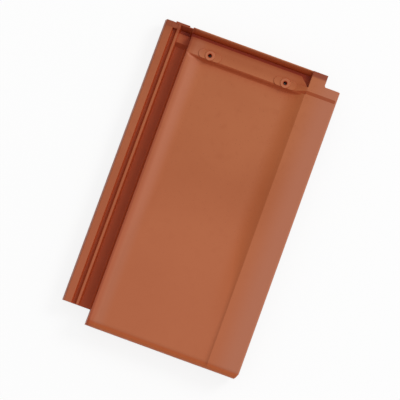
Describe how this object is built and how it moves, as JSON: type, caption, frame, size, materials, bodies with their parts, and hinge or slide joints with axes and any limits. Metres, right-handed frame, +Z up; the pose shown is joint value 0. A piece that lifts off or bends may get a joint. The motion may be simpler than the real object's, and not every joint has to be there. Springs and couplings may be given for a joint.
{
  "type": "clay roof tile",
  "caption": "Flat interlocking clay roof tile with a dished pan, side lock, cover flap, head ledge with nail holes, rounded foot and hanging nibs.",
  "frame": {"origin": "middle of the tile's box, on the level floor that its nibs and foot rib lie on", "axes": "+X across the tile towards the cover flap, +Y along the tile towards its head, +Z up, out of the weather side"},
  "size_m": [0.2704, 0.4518, 0.0384],
  "materials": {
    "fired_clay": "satin red-brown engobe on fired clay"
  },
  "bodies": {
    "root": {"roof_tile": "fired_clay"}
  },
  "joints": []
}
